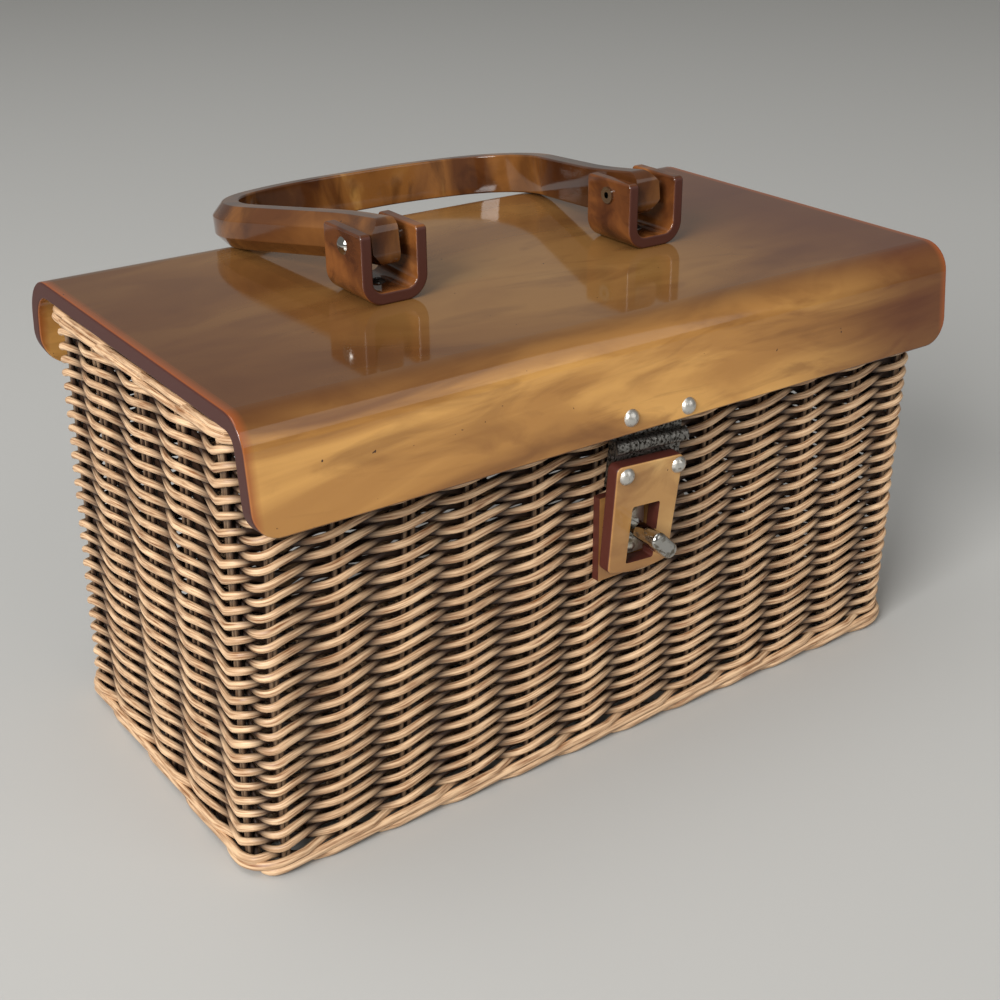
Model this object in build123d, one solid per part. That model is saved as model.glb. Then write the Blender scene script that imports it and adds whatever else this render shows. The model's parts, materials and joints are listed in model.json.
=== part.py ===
from build123d import *
import os
from math import atan2, degrees, hypot, sqrt

# Basket box bag: a woven reed basket closed by a bent acrylic lid, with a bail handle, a front hasp
# that drops over a turn knob, and two hinges at the back. Millimetres, +Z up, +X to the right, front at -Y.
# The origin is the centre of the face that the basket stands on.

os.makedirs("parts", exist_ok=True)

# ---- Basket ----
BASE_HALF_X = 136.0
BASE_FRONT_Y = 71.5
BASE_BACK_Y = 67.0
RIM_HALF_X = 135.0
RIM_FRONT_Y = 69.0
RIM_BACK_Y = 69.5
WALL_TOP_Z = 138.0
BASKET_CORNER_R = 18.0
WALL_T = 7.6
FOOT_H = 6.0
FOOT_OVERHANG = 0.8
BASE_T = 4.0
BASE_INSET = 0.8
RIM_H = 6.5
RIM_OVERHANG = 0.5
RIM_ROUND_OUT = 5.0
RIM_ROUND_IN = 2.0
WEAVE_GAP = 0.3

# ---- Lid ----
LID_LENGTH = 265.0
LID_DEPTH = 156.0
LID_T = 5.5
EDGE_R = 0.7
LID_TOP_Z = WALL_TOP_Z + RIM_H + 6.0
FLANGE_H = 33.7
FRONT_SPLAY = 3.5
BACK_SPLAY = 5.5
FRONT_BEND_R = 10.0
BACK_BEND_R = 17.0
FRONT_CORNER_R = 9.0
BACK_CORNER_R = 14.0

# ---- Handle and its two channel brackets ----
BRACKET_OUTER_X = 63.0
BRACKET_W = 23.3
BRACKET_DEPTH = 23.0
BRACKET_H = 22.5
BRACKET_T = 3.9
BRACKET_BEND_R = 7.5
EAR_CORNER_R = 1.5
BRACKET_Y = -9.0
PIN_R = 1.9
PIN_HEIGHT = 17.2
PIN_HEAD_R = 2.8
PIN_HEAD_H = 1.3
PIN_HOLLOW_R = 1.1
PIN_CLINCH_H = 0.9
PIN_HOLLOW_DEPTH = 4.0
BRACKET_RIVET_HEAD_H = 1.2
HANDLE_SHIFT_X = -1.2
HANDLE_ARM_X = 51.4
HANDLE_T = 9.6
HANDLE_H = 14.4
HANDLE_BEVEL_H = 4.2
HANDLE_BEVEL_IN = 3.8
HANDLE_END = 8.6
HANDLE_END_R = 4.0
HANDLE_STRAIGHT = 16.0
HANDLE_SHOULDER_X = 70.0
HANDLE_SHOULDER_Y = 90.0
HANDLE_CROWN_X = 26.0
HANDLE_CROWN_Y = 107.0
HANDLE_KNEE_R = 80.0
HANDLE_SHOULDER_R = 32.0
HANDLE_CROWN_R = 80.0
HANDLE_REST_TILT = 7.4

# ---- Hinges ----
LEAF_T = 1.0
BARREL_R = 2.4
HINGE_PIN_R = 1.2
RUN_CLEAR = 0.05
KNUCKLE_GAP = 0.3
CRANK_R = 1.2
HINGE_W = 28.2
KNUCKLE_SPLITS = [-5.9, 6.8]
RIVET_R = 1.5
RIVET_HEAD_R = 2.8
RIVET_HEAD_H = 1.7
RIVET_TAIL_R = 2.4
RIVET_TAIL_H = 0.9

# ---- Front latch ----
HASP_HINGE_X = 2.5
HASP_HINGE_DROP = 5.5
LATCH_SKEW = 3.5
HASP_REST_LEAN = 3.4
LID_LEAF_H = 15.0
LID_RIVET_UP = 10.0
LID_RIVET_SPACING = 22.6
LID_RIVET_SHIFT = 0.9
HASP_T = 5.0
HASP_TOP = 5.0
HASP_H = 38.5
HASP_TOP_W = 26.6
HASP_BOTTOM_W = 24.4
HASP_SHIFT = -1.2
HASP_SAG = 1.8
HASP_CORNER_R = 2.0
SLOT_W = 11.0
SLOT_H = 20.0
SLOT_RISE = 0.8
SLOT_CORNER_R = 0.8
HASP_RIVET_DOWN = 8.6
HASP_RIVET_SPACING = 20.6
HASP_LEAF_H = 13.5

# ---- Turn knob and its plates ----
KNOB_X = -0.3
KNOB_Z = LID_TOP_Z - 69.9
BACKING_W = 25.0
BACKING_H = 29.0
BACKING_T = 3.0
BACKING_DROP = 1.5
BASE_PLATE_W = 9.6
BASE_PLATE_H = 18.0
BASE_PLATE_T = 0.8
LOCK_RIVET_SPACING = 14.0
LOCK_RIVET_R = 1.0
LOCK_RIVET_HEAD_R = 1.6
LOCK_RIVET_HEAD_H = 0.4
INNER_PLATE_W = 14.0
INNER_PLATE_T = 1.0
KNOB_SHAFT_R = 2.3
KNOB_COLLAR_R = 3.4
KNOB_COLLAR_H = 1.2
KNOB_BOW_W = 12.0
KNOB_BOW_T = 5.6
KNOB_BOW_D = 10.0
KNOB_BOW_ROUND = 1.6
KNOB_BOW_START = 7.0
KNOB_PEEN = 0.5
KNOB_REST_ANGLE = 45.0
KNOB_WASHER_R = 4.2
KNOB_WASHER_T = 1.0

# ---- Rear hinges ----
REAR_HINGE_X = 84.0
REAR_HINGE_DROP = 4.2
REAR_LEAF_H = 14.0
REAR_LEAF_DOWN = 27.0
REAR_CRANK_DROP = 3.2
REAR_RIVET_UP = 9.0
REAR_RIVET_DOWN = 21.5
REAR_RIVET_SPACING = 19.0


# ---- General builders ----
def bent_section(points, radii, thickness):
    """Face of a bent sheet: a polyline with rounded bends, and its copy set in by the thickness."""
    outer = [Vector(*p) for p in points]
    runs = [(b - a).normalized() for a, b in zip(outer, outer[1:])]
    rights = [Vector(run.Y, -run.X) for run in runs]
    inner = []
    for point, first, last in zip(outer, rights[:1] + rights, rights + rights[-1:]):
        middle = (first + last).normalized()
        inner.append(point + middle * (thickness / middle.dot(first)))
    outer_edges = FilletPolyline(*outer, radius=radii).edges()
    inner_edges = FilletPolyline(*inner, radius=[radius - thickness for radius in radii]).edges()
    end_edges = [Line(outer[0], inner[0]).edge(), Line(outer[-1], inner[-1]).edge()]
    return make_face([*outer_edges, *inner_edges, *end_edges])


def along_x(section, start, end):
    """A section drawn in (Y, Z), run along X from start to end."""
    return Pos(start, 0, 0) * extrude(Plane.YZ * section, amount=end - start)


def rod_x(radius, start, end):
    """A round rod on the X axis."""
    return Pos((start + end) / 2, 0, 0) * Rot(0, 90, 0) * Cylinder(radius, end - start)


def rod_y(radius, start, end):
    """A round rod on the Y axis."""
    return Pos(0, (start + end) / 2, 0) * Rot(90, 0, 0) * Cylinder(radius, end - start)


def rivet(grip, shank_r, head_r, head_h, tail_r, tail_h):
    """Rivet on the Y axis: domed head on the -Y side of y = 0, flat clinched tail past y = grip."""
    dome_r = (head_r**2 + head_h**2) / (2 * head_h)
    half_way = head_r / 2
    half_way_h = head_h - dome_r + sqrt(dome_r**2 - half_way**2)
    dome = ThreePointArc((head_r, 0), (half_way, half_way_h), (0, head_h))
    half_profile = [
        dome,
        Line((0, head_h), (0, -grip - tail_h)),
        Line((0, -grip - tail_h), (tail_r, -grip - tail_h)),
        Line((tail_r, -grip - tail_h), (tail_r, -grip)),
        Line((tail_r, -grip), (shank_r, -grip)),
        Line((shank_r, -grip), (shank_r, 0)),
        Line((shank_r, 0), (head_r, 0)),
    ]
    face = make_face([line.edge() for line in half_profile])
    return Rot(90, 0, 0) * revolve(Plane.XZ * face, Axis.Z)


def hinge_rivet(grip):
    """The rivet used all over the hinges."""
    return rivet(grip, RIVET_R, RIVET_HEAD_R, RIVET_HEAD_H, RIVET_TAIL_R, RIVET_TAIL_H)


def save(name, *solids):
    """Writes one node."""
    shape = solids[0] if len(solids) == 1 else Compound(children=list(solids))
    export_step(shape, f"parts/{name}.step")
    print(name, len(shape.solids()), round(shape.volume))


# ---- Where the pieces sit ----
FLANGE_BOTTOM_Z = LID_TOP_Z - FLANGE_H
LEAF_FACE = BARREL_R - LEAF_T
PIN_Z = LID_TOP_Z + PIN_HEIGHT
BRACKET_X = BRACKET_OUTER_X - BRACKET_W / 2
LID_SECTION = [
    (-LID_DEPTH / 2 - FRONT_SPLAY, FLANGE_BOTTOM_Z),
    (-LID_DEPTH / 2, LID_TOP_Z),
    (LID_DEPTH / 2, LID_TOP_Z),
    (LID_DEPTH / 2 + BACK_SPLAY, FLANGE_BOTTOM_Z),
]


def wall_reach(z):
    """How far the outer wall stands from the Z axis at a height: to the ends, the front and the back."""
    share = z / (WALL_TOP_Z + RIM_H)
    end = BASE_HALF_X + (RIM_HALF_X - BASE_HALF_X) * share
    front = BASE_FRONT_Y + (RIM_FRONT_Y - BASE_FRONT_Y) * share
    back = BASE_BACK_Y + (RIM_BACK_Y - BASE_BACK_Y) * share
    return end, front, back


def pin_line(splay, drop):
    """Distance from the lid's middle, and height, of a hinge pin under a flange's edge."""
    length = hypot(splay, FLANGE_H)
    down, out = FLANGE_H / length, splay / length
    inwards = LID_T - LEAF_FACE
    y = LID_DEPTH / 2 + splay - inwards * down + drop * out
    z = FLANGE_BOTTOM_Z - inwards * out - drop * down
    return y, z


def flange_lean(splay):
    """How far a flange leans outwards, in degrees."""
    return degrees(atan2(splay, FLANGE_H))


FRONT_PIN_Y, FRONT_PIN_Z = pin_line(FRONT_SPLAY, HASP_HINGE_DROP)
REAR_PIN_Y, REAR_PIN_Z = pin_line(BACK_SPLAY, REAR_HINGE_DROP)
# Hinge frames: the pin runs along X, -Y faces outwards, and +Z points up along the flange.
LATCH = Pos(HASP_HINGE_X, -FRONT_PIN_Y, FRONT_PIN_Z) * Rot(-flange_lean(FRONT_SPLAY), 0, 0)
LATCH *= Rot(0, LATCH_SKEW, 0)
HASP = LATCH * Rot(flange_lean(FRONT_SPLAY) + HASP_REST_LEAN, 0, 0)
LATCH_AXIS = (LATCH * Pos(1, 0, 0)).position - LATCH.position
KNOB_WALL_Y = -wall_reach(KNOB_Z)[1]
BACKING_FRONT_Y = KNOB_WALL_Y - WEAVE_GAP - BACKING_T
BASE_PLATE_FRONT_Y = BACKING_FRONT_Y - BASE_PLATE_T
INNER_PLATE_Y = KNOB_WALL_Y + WALL_T + WEAVE_GAP
REAR_WALL_GAP = REAR_PIN_Y - wall_reach(REAR_PIN_Z - REAR_RIVET_DOWN)[2] - WEAVE_GAP


def rear_frame(side, leans):
    """Frame of a rear hinge: world upright, or leaning with the lid's back flange."""
    lean = Rot(-flange_lean(BACK_SPLAY), 0, 0) if leans else Rot(0, 0, 0)
    return Pos(side * REAR_HINGE_X, REAR_PIN_Y, REAR_PIN_Z) * Rot(0, 0, 180) * lean


def pair(spacing, shift, height):
    """The two rivet places of a leaf, in its own frame."""
    return [Pos(shift - spacing / 2, 0, height), Pos(shift + spacing / 2, 0, height)]


LID_LATCH_RIVETS = [LATCH * place for place in pair(LID_RIVET_SPACING, LID_RIVET_SHIFT, LID_RIVET_UP)]
HASP_RIVETS = [HASP * place for place in pair(HASP_RIVET_SPACING, 0, -HASP_RIVET_DOWN)]
REAR_LID_PAIR = pair(REAR_RIVET_SPACING, 0, REAR_RIVET_UP)
REAR_LID_RIVETS = [rear_frame(side, True) * place for side in (-1, 1) for place in REAR_LID_PAIR]
REAR_BASKET_PAIR = pair(REAR_RIVET_SPACING, 0, -REAR_RIVET_DOWN)
REAR_BASKET_RIVETS = [rear_frame(side, False) * place for side in (-1, 1) for place in REAR_BASKET_PAIR]
LOCK_RIVETS = [Pos(KNOB_X, 0, KNOB_Z + way * LOCK_RIVET_SPACING / 2) for way in (-1, 1)]


# ---- Basket ----
def tub_block(z_low, z_high, outset):
    """A level slice of the tapered box with rounded corners, its sides moved out by the outset."""
    low, high = [[reach + outset for reach in wall_reach(z)] for z in (z_low, z_high)]
    faces = []
    for near, far in ((0, 0), (1, 2)):
        corners = [(-low[near], z_low), (low[far], z_low), (high[far], z_high), (-high[near], z_high)]
        faces.append(make_face(Polyline(*corners, close=True).edges()))
    block = extrude(Plane.XZ * faces[0], amount=LID_DEPTH, both=True)
    block &= along_x(faces[1], -LID_LENGTH, LID_LENGTH)
    uprights = [edge for edge in block.edges() if edge.bounding_box().size.Z > (z_high - z_low) / 2]
    return fillet(uprights, BASKET_CORNER_R + outset)


def tub_ring(z_low, z_high, outset, inset):
    """A band of the basket wall."""
    return tub_block(z_low, z_high, outset) - tub_block(z_low, z_high, -inset)


def make_woven_body():
    """The woven wall, with the holes that its fittings are fixed through."""
    wall = tub_ring(FOOT_H + BASE_T, WALL_TOP_Z, 0, WALL_T)
    front_reach = (KNOB_WALL_Y - WALL_T, KNOB_WALL_Y + 2 * WALL_T)
    wall -= Pos(KNOB_X, 0, KNOB_Z) * rod_y(KNOB_SHAFT_R + RUN_CLEAR, *front_reach)
    for place in LOCK_RIVETS:
        wall -= place * rod_y(LOCK_RIVET_R, *front_reach)
    for place in REAR_BASKET_RIVETS:
        wall -= place * rod_y(RIVET_R, REAR_WALL_GAP - WALL_T, REAR_WALL_GAP + 2 * WALL_T)
    return wall


def make_rim_border():
    """The rolled border of turned-down stakes round the mouth."""
    ring = tub_ring(WALL_TOP_Z, WALL_TOP_Z + RIM_H, RIM_OVERHANG, WALL_T + RIM_OVERHANG)
    mouth, outside = ring.faces().sort_by(Axis.Z)[-1].wires().sort_by(SortBy.LENGTH)
    ring = fillet(outside.edges(), RIM_ROUND_OUT)
    mouth = ring.faces().sort_by(Axis.Z)[-1].wires().sort_by(SortBy.LENGTH)[0]
    return fillet(mouth.edges(), RIM_ROUND_IN)


# ---- Lid ----
def make_lid_panel():
    """One bent sheet: a flat top with a front and a back flange that hang clear of the basket."""
    section = bent_section(LID_SECTION, [FRONT_BEND_R, BACK_BEND_R], LID_T)
    sheet = along_x(section, -LID_LENGTH / 2, LID_LENGTH / 2)
    for sign, radius in ((-1, FRONT_CORNER_R), (1, BACK_CORNER_R)):
        corners = [
            edge
            for edge in sheet.edges()
            if edge.center().Z < FLANGE_BOTTOM_Z + 0.1
            and edge.center().Y * sign > 0
            and abs(abs(edge.center().X) - LID_LENGTH / 2) < 0.01
        ]
        sheet = fillet(corners, radius)
    for z in (LID_TOP_Z, LID_TOP_Z - LID_T):
        skin = sheet.faces().filter_by(Axis.Z).filter_by_position(Axis.Z, z - 0.01, z + 0.01)[0]
        ends = skin.edges().filter_by(Axis.Y)
        sheet = fillet(ends, EDGE_R)
    for place in LID_LATCH_RIVETS + REAR_LID_RIVETS:
        sheet -= place * rod_y(RIVET_R, -2 * LID_T, 2 * LID_T)
    for side in (-1, 1):
        drill = Pos(side * BRACKET_X, BRACKET_Y, LID_TOP_Z) * Cylinder(RIVET_R, 3 * LID_T)
        sheet -= drill
    return sheet


def make_bracket(side):
    """A channel bent from strip: two upright ears on a flat floor."""
    half = BRACKET_W / 2
    outline = [(half, BRACKET_H), (half, 0), (-half, 0), (-half, BRACKET_H)]
    section = bent_section(outline, [BRACKET_BEND_R, BRACKET_BEND_R], BRACKET_T)
    channel = extrude(Plane.XZ * section, amount=BRACKET_DEPTH / 2, both=True)
    across = channel.edges().filter_by(Axis.X)
    channel = fillet(across.filter_by_position(Axis.Z, BRACKET_H - 0.01, BRACKET_H + 0.01), EAR_CORNER_R)
    for z in (0, BRACKET_T):
        floor = channel.faces().filter_by(Axis.Z).filter_by_position(Axis.Z, z - 0.01, z + 0.01)[0]
        channel = fillet(floor.edges().filter_by(Axis.X), EDGE_R)
    channel -= Pos(0, 0, PIN_HEIGHT) * rod_x(PIN_R, -BRACKET_W, BRACKET_W)
    channel -= Cylinder(RIVET_R, 4 * BRACKET_T)
    return Pos(side * BRACKET_X, BRACKET_Y, LID_TOP_Z) * channel


def make_bracket_rivet(side):
    """Rivet from the bracket's floor down through the lid."""
    grip = BRACKET_T + LID_T
    shape = rivet(grip, RIVET_R, RIVET_HEAD_R, BRACKET_RIVET_HEAD_H, RIVET_TAIL_R, RIVET_TAIL_H)
    return Pos(side * BRACKET_X, BRACKET_Y, LID_TOP_Z + BRACKET_T) * Rot(-90, 0, 0) * shape


def make_handle_pin(side):
    """Tubular rivet: domed head on the outer ear, open clinched end on the inner ear."""
    pin = rivet(BRACKET_W, PIN_R, PIN_HEAD_R, PIN_HEAD_H, PIN_HEAD_R, PIN_CLINCH_H)
    pin -= rod_y(PIN_HOLLOW_R, BRACKET_W - PIN_HOLLOW_DEPTH, BRACKET_W + 2 * PIN_CLINCH_H)
    return Pos(side * BRACKET_OUTER_X, BRACKET_Y, PIN_Z) * Rot(0, 0, 90 * side) * pin


# ---- Handle ----
def make_handle():
    """Bail bent from one bar: flat inside, with two broad bevels outside, and drilled for its pins."""
    half_route = [
        (HANDLE_ARM_X, -HANDLE_END),
        (HANDLE_ARM_X, HANDLE_STRAIGHT),
        (HANDLE_SHOULDER_X, HANDLE_SHOULDER_Y),
        (HANDLE_CROWN_X, HANDLE_CROWN_Y),
    ]
    route = [(-x, y) for x, y in half_route] + half_route[::-1]
    bends = [HANDLE_KNEE_R, HANDLE_SHOULDER_R, HANDLE_CROWN_R]
    path = FilletPolyline(*route, radius=bends + bends[::-1])
    half_t, half_h = HANDLE_T / 2, HANDLE_H / 2
    flat = half_h - HANDLE_BEVEL_H
    bevel = half_t - HANDLE_BEVEL_IN
    outline = [(-half_t, -half_h), (bevel, -half_h), (half_t, -flat)]
    outline += [(x, -y) for x, y in outline[::-1]]
    start = Plane(origin=(-HANDLE_ARM_X, -HANDLE_END, 0), x_dir=(-1, 0, 0), z_dir=(0, 1, 0))
    section = make_face(Polyline(*outline, close=True).edges())
    section = fillet(section.vertices(), EDGE_R)
    bar = sweep(start * section, path=path)
    reach = HANDLE_CROWN_Y + 2 * HANDLE_T
    ends = Pos((reach - HANDLE_END) / 2, 0) * RectangleRounded(reach + HANDLE_END, HANDLE_H, HANDLE_END_R)
    bar &= along_x(ends, -2 * HANDLE_SHOULDER_X, 2 * HANDLE_SHOULDER_X)
    bar -= rod_x(PIN_R + RUN_CLEAR, -HANDLE_SHOULDER_X, HANDLE_SHOULDER_X)
    return Pos(HANDLE_SHIFT_X, BRACKET_Y, PIN_Z) * Rot(-HANDLE_REST_TILT, 0, 0) * bar


# ---- Hinges ----
KNUCKLES = {
    "outer": [(-HINGE_W / 2, KNUCKLE_SPLITS[0]), (KNUCKLE_SPLITS[1], HINGE_W / 2)],
    "middle": [(KNUCKLE_SPLITS[0] + KNUCKLE_GAP, KNUCKLE_SPLITS[1] - KNUCKLE_GAP)],
}


def make_leaf(own, other, bore_r, plate_section):
    """One hinge leaf round the local X axis: its plate, cut clear of the other leaf, and its knuckles."""
    leaf = along_x(plate_section, -HINGE_W / 2, HINGE_W / 2)
    for start, end in KNUCKLES[other]:
        leaf -= rod_x(BARREL_R + KNUCKLE_GAP, start - KNUCKLE_GAP, end + KNUCKLE_GAP)
    for start, end in KNUCKLES[own]:
        leaf += rod_x(BARREL_R, start, end)
    return leaf - rod_x(bore_r, -HINGE_W, HINGE_W)


def flat_plate(low, high):
    """Section of a straight leaf plate, tangent to the inner side of the barrel."""
    return Pos(BARREL_R - LEAF_T / 2, (low + high) / 2) * Rectangle(LEAF_T, high - low)


def cranked_plate():
    """Section of the leaf that steps in from the barrel to the basket wall and runs down it."""
    near, far = LEAF_FACE + LEAF_T, REAR_WALL_GAP
    step_z = -REAR_CRANK_DROP - (far - near)
    route = [(near, 0), (near, -REAR_CRANK_DROP), (far, step_z), (far, -REAR_LEAF_DOWN)]
    return bent_section(route, [CRANK_R, CRANK_R + LEAF_T], LEAF_T)


def drilled(leaf, holes, frame):
    """A leaf put in its place, with its rivet holes."""
    placed = frame * leaf
    for place in holes:
        placed -= place * rod_y(RIVET_R, -4 * LID_T, 4 * LID_T)
    return placed


# ---- Front latch ----
def make_hasp_plate():
    """Hasp plate, a little narrower at its curved foot, with the slot that drops over the turn knob."""
    top, bottom = -HASP_TOP, -HASP_TOP - HASP_H
    half_top, half_bottom = HASP_TOP_W / 2, HASP_BOTTOM_W / 2
    outline = [
        Line((-half_top, top), (half_top, top)),
        Line((half_top, top), (half_bottom, bottom + HASP_SAG)),
        ThreePointArc((half_bottom, bottom + HASP_SAG), (0, bottom), (-half_bottom, bottom + HASP_SAG)),
        Line((-half_bottom, bottom + HASP_SAG), (-half_top, top)),
    ]
    face = make_face([line.edge() for line in outline])
    face = fillet(face.vertices(), HASP_CORNER_R)
    plate = extrude(Plane.XZ * face, amount=HASP_T)
    faces = plate.faces().sort_by(Axis.Y)
    plate = fillet(faces[0].edges() + faces[-1].edges(), EDGE_R)
    plate = HASP * Pos(HASP_SHIFT, LEAF_FACE, 0) * plate
    knob = (HASP.inverse() * Pos(KNOB_X, BACKING_FRONT_Y, KNOB_Z + SLOT_RISE)).position
    slot = extrude(Plane.XZ * RectangleRounded(SLOT_W, SLOT_H, SLOT_CORNER_R), amount=2 * HASP_T, both=True)
    plate -= HASP * Pos(knob.X, 0, knob.Z) * slot
    for place in HASP_RIVETS:
        plate -= place * rod_y(RIVET_R, -2 * HASP_T, 2 * HASP_T)
    return plate


def lock_plate(width, height, thickness, front_y, centre_z, shaft_r):
    """A plate of the turn lock, on the basket's front, drilled for the knob and the two lock rivets."""
    middle = Pos(KNOB_X, front_y + thickness / 2, centre_z)
    plate = middle * Box(width, thickness, height)
    plate -= Pos(KNOB_X, front_y, KNOB_Z) * rod_y(shaft_r, -thickness, 2 * thickness)
    for place in LOCK_RIVETS:
        plate -= place * rod_y(LOCK_RIVET_R, front_y - thickness, front_y + 2 * thickness)
    return plate


def make_turn_knob():
    """Turn knob: a flattened bow on a round neck, with a collar, and a shaft through the wall."""
    bow = extrude(Plane.XZ * SlotOverall(KNOB_BOW_W, KNOB_BOW_T), amount=KNOB_BOW_D)
    bow = fillet(bow.faces().sort_by(Axis.Y)[0].edges(), KNOB_BOW_ROUND)
    knob = Pos(0, BASE_PLATE_FRONT_Y - KNOB_BOW_START, 0) * Rot(0, KNOB_REST_ANGLE, 0) * bow
    knob += rod_y(KNOB_SHAFT_R, BASE_PLATE_FRONT_Y - KNOB_BOW_START, WASHER_Y + KNOB_WASHER_T + KNOB_PEEN)
    collar_back_y = BASE_PLATE_FRONT_Y - RUN_CLEAR
    knob += rod_y(KNOB_COLLAR_R, collar_back_y - KNOB_COLLAR_H, collar_back_y)
    return Pos(KNOB_X, 0, KNOB_Z) * knob


WASHER_Y = INNER_PLATE_Y + INNER_PLATE_T + RUN_CLEAR

# ---- Write the nodes ----
save("woven_body", make_woven_body())
save("rim_border", make_rim_border())
save("foot_border", tub_ring(0, FOOT_H, FOOT_OVERHANG, WALL_T + FOOT_OVERHANG))
save("woven_base", tub_block(FOOT_H, FOOT_H + BASE_T, -BASE_INSET))

save("lid_panel", make_lid_panel())
for side, word in ((-1, "left"), (1, "right")):
    save(f"handle_bracket_{word}", make_bracket(side))
    save(f"handle_pin_{word}", make_handle_pin(side))
save("bracket_rivets", make_bracket_rivet(-1), make_bracket_rivet(1))
save("handle", make_handle())

lid_leaf = make_leaf("outer", "middle", HINGE_PIN_R, flat_plate(0, LID_LEAF_H))
save("latch_hinge_lid_leaf", drilled(lid_leaf, LID_LATCH_RIVETS, LATCH))
save("latch_hinge_pin", LATCH * rod_x(HINGE_PIN_R, -HINGE_W / 2, HINGE_W / 2))
lid_rivet = Pos(0, LEAF_FACE - LID_T, 0) * hinge_rivet(LID_T + LEAF_T)
save("latch_hinge_lid_rivets", *[place * lid_rivet for place in LID_LATCH_RIVETS])
hasp_leaf = make_leaf("middle", "outer", HINGE_PIN_R + RUN_CLEAR, flat_plate(-HASP_LEAF_H, 0))
save("latch_hinge_hasp_leaf", drilled(hasp_leaf, HASP_RIVETS, HASP))
save("hasp_plate", make_hasp_plate())
hasp_rivet = Pos(0, LEAF_FACE - HASP_T, 0) * hinge_rivet(HASP_T + LEAF_T)
save("hasp_rivets", *[place * hasp_rivet for place in HASP_RIVETS])

backing_z = KNOB_Z - BACKING_DROP
free_shaft_r = KNOB_SHAFT_R + RUN_CLEAR
backing = lock_plate(BACKING_W, BACKING_H, BACKING_T, BACKING_FRONT_Y, backing_z, free_shaft_r)
base_plate = lock_plate(BASE_PLATE_W, BASE_PLATE_H, BASE_PLATE_T, BASE_PLATE_FRONT_Y, KNOB_Z, free_shaft_r)
inner_plate = lock_plate(INNER_PLATE_W, BASE_PLATE_H, INNER_PLATE_T, INNER_PLATE_Y, KNOB_Z, free_shaft_r)
save("lock_backing_plate", backing)
save("lock_base_plate", base_plate)
save("lock_inner_plate", inner_plate)
lock_grip = INNER_PLATE_Y + INNER_PLATE_T - BASE_PLATE_FRONT_Y
lock_head = (LOCK_RIVET_HEAD_R, LOCK_RIVET_HEAD_H)
lock_rivet = rivet(lock_grip, LOCK_RIVET_R, *lock_head, *lock_head)
save("lock_rivets", *[place * Pos(0, BASE_PLATE_FRONT_Y, 0) * lock_rivet for place in LOCK_RIVETS])
save("turn_knob", make_turn_knob())
washer = rod_y(KNOB_WASHER_R, 0, KNOB_WASHER_T) - rod_y(KNOB_SHAFT_R, -KNOB_WASHER_T, 2 * KNOB_WASHER_T)
save("knob_washer", Pos(KNOB_X, WASHER_Y, KNOB_Z) * washer)

rear_lid_leaf = make_leaf("middle", "outer", HINGE_PIN_R + RUN_CLEAR, flat_plate(0, REAR_LEAF_H))
rear_basket_leaf = make_leaf("outer", "middle", HINGE_PIN_R, cranked_plate())
for side, word in ((-1, "left"), (1, "right")):
    save(f"rear_hinge_{word}_lid_leaf", drilled(rear_lid_leaf, REAR_LID_RIVETS, rear_frame(side, True)))
    upright = rear_frame(side, False)
    save(f"rear_hinge_{word}_basket_leaf", drilled(rear_basket_leaf, REAR_BASKET_RIVETS, upright))
    save(f"rear_hinge_{word}_pin", upright * rod_x(HINGE_PIN_R, -HINGE_W / 2, HINGE_W / 2))
save("rear_hinge_lid_rivets", *[place * lid_rivet for place in REAR_LID_RIVETS])
basket_rivet = Pos(0, REAR_WALL_GAP - LEAF_T, 0) * hinge_rivet(LEAF_T + WALL_T + 2 * WEAVE_GAP)
save("rear_hinge_basket_rivets", *[place * basket_rivet for place in REAR_BASKET_RIVETS])

print("latch pin along", LATCH_AXIS, "through", LATCH.position)
print("rear pins through", REAR_PIN_Y, REAR_PIN_Z)
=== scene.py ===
# %% [markdown]
# # A basket box bag
# The bag is a box of twined reed with a bent sheet of marbled amber plastic for a lid. The hard pieces are
# the model's own solids and only need finishes. The reed work is one plain solid there, so this lesson
# weaves it strand by strand, in its place, as surfaces worked out with numpy.

# %% Load the frame
import json
import bpy
import numpy as np
from mathutils import Matrix, Vector


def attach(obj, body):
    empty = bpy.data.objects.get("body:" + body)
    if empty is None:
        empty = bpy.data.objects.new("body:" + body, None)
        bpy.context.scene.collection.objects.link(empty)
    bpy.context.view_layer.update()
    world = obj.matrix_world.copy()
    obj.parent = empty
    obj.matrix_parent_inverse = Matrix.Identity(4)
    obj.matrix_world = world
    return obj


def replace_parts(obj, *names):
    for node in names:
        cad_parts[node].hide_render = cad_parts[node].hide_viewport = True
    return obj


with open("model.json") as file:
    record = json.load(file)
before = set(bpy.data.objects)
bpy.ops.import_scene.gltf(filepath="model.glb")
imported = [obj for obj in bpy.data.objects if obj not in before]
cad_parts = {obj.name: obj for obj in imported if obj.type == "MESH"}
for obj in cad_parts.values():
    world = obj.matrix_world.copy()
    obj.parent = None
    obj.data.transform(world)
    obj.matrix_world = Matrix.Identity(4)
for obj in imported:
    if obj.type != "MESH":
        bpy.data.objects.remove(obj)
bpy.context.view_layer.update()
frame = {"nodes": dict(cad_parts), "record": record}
NODES = frame["nodes"]
MM = 0.001
print("frame loaded:", len(NODES), "solids")

# %% [markdown]
# ## The camera
# It looks down on the bag's front left corner from standing height over a table. It is placed by its own three
# axes, because a slight roll is easiest to give that way.


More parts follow.
